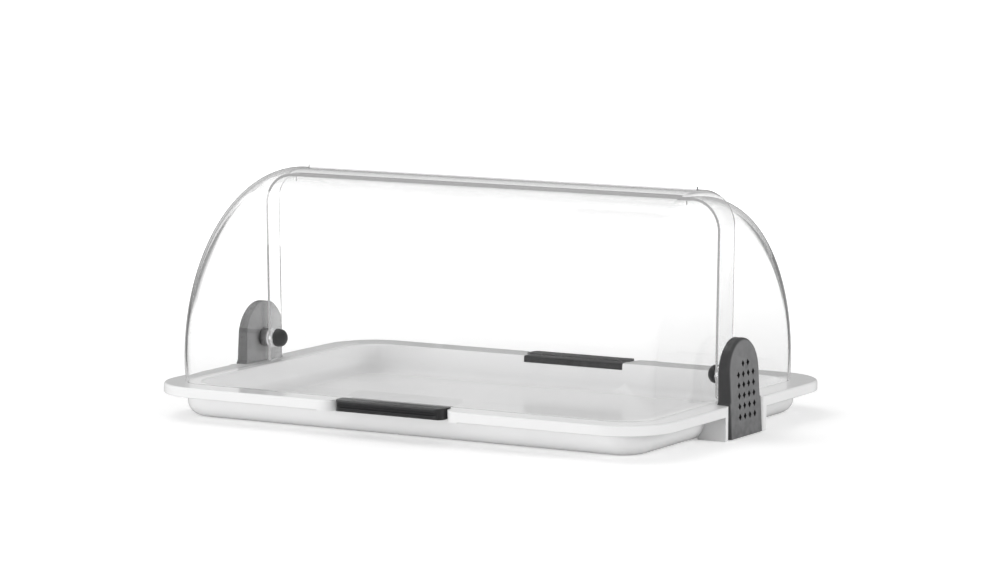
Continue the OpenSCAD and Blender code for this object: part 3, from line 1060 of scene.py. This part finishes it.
def make_sky(world):
    world.use_nodes = True
    tree = world.node_tree
    tree.nodes.clear()
    path = add(tree, "LightPath").outputs
    spot = add(tree, "TexCoord").outputs["Generated"]
    direction = add(tree, "SeparateXYZ")
    link(tree, spot, direction.inputs[0])
    height = ranged(tree, direction.outputs["Z"], *SKY_BAND, 0.0, 1.0)
    behind = ranged(tree, off_centre(tree, spot, 0.0), *SKY_EDGE, THROUGH_LOW, THROUGH_HIGH)
    through = mixed(tree, height, behind, THROUGH_HIGH)
    shine = mixed(tree, height, SHINE_LOW, SHINE_HIGH)
    strength = mixed(tree, path["Is Glossy Ray"], SKY_LIGHT, shine)
    strength = mixed(tree, path["Is Transmission Ray"], strength, through)
    strength = mixed(tree, path["Is Camera Ray"], strength, 1.0)
    sky = add(tree, "Background", Color=(1, 1, 1, 1))
    link(tree, strength, sky.inputs["Strength"])
    out = tree.nodes.new("ShaderNodeOutputWorld")
    link(tree, sky.outputs[0], out.inputs["Surface"])


world = bpy.context.scene.world or bpy.data.worlds.new("studio")
bpy.context.scene.world = world
make_sky(world)
print("world nodes", len(world.node_tree.nodes))

# %% [markdown]
# A broad soft key lamp stands above the left, a low wide one in front of the tray lights its
# walls, and one from the right fills the end with the bracket. Together they give the tray its
# gentle shading and let the shadow fall softly. The front and right lamps only light: they don't
# show in gloss or through clear walls, where they would wash out the grips and knobs.

# %% Lamps
def soft_lamp(name, at, look, wide, high, watts, shows=True):
    light = bpy.data.lights.new(name, "AREA")
    light.shape = "RECTANGLE"
    light.size, light.size_y, light.energy = wide, high, watts
    lamp = bpy.data.objects.new(name, light)
    bpy.context.scene.collection.objects.link(lamp)
    lamp.location = at
    lamp.rotation_euler = (Vector(look) - Vector(at)).to_track_quat("-Z", "Y").to_euler()
    lamp.visible_glossy = lamp.visible_transmission = shows
    print(name, watts, "W")


soft_lamp("key_lamp", (-1.1, 0.1, 1.7), (0, 0, 0.05), 1.4, 1.4, 11)
soft_lamp("front_lamp", (-0.7, -3.0, 0.36), (0, 0, 0.02), 2.4, 0.7, 50, shows=False)
soft_lamp("side_lamp", (2.6, 0.6, 0.6), (0, 0, 0.05), 1.2, 1.0, 30, shows=False)
bpy.context.scene.view_settings.view_transform = "Standard"

# %% [markdown]
# The camera was worked out from the outline of the tray and covers in the picture: a long lens,
# about 30 degrees round to the right and 7 degrees up, looking a little above the tray.

# %% Camera
PICTURE_W = 1000
FOCAL_PX = 4268.6
SENSOR = 36
CAM_RISE = math.radians(7.142)
CAM_SIDE = 0.006915
CAM_UP = 0.101121
across = Vector((math.cos(CAM_TURN), math.sin(CAM_TURN), 0))
level = Vector((math.sin(CAM_TURN), -math.cos(CAM_TURN), 0))
back = level * math.cos(CAM_RISE) + Vector((0, 0, math.sin(CAM_RISE)))
over = back.cross(across)
object_mode()
bpy.ops.object.camera_add()
camera = bpy.context.object
camera.name = "picture_camera"
camera.data.sensor_fit = "HORIZONTAL"
camera.data.sensor_width = SENSOR
camera.data.lens = FOCAL_PX * SENSOR / PICTURE_W
camera.data.clip_end = 60
turned = Matrix((across, over, back)).transposed().to_4x4()
at = back * CAM_AWAY + across * CAM_SIDE + over * CAM_UP
camera.matrix_world = Matrix.Translation(at) @ turned
bpy.context.scene.camera = camera
print("camera at", [round(c, 3) for c in at], "lens", round(camera.data.lens, 1))
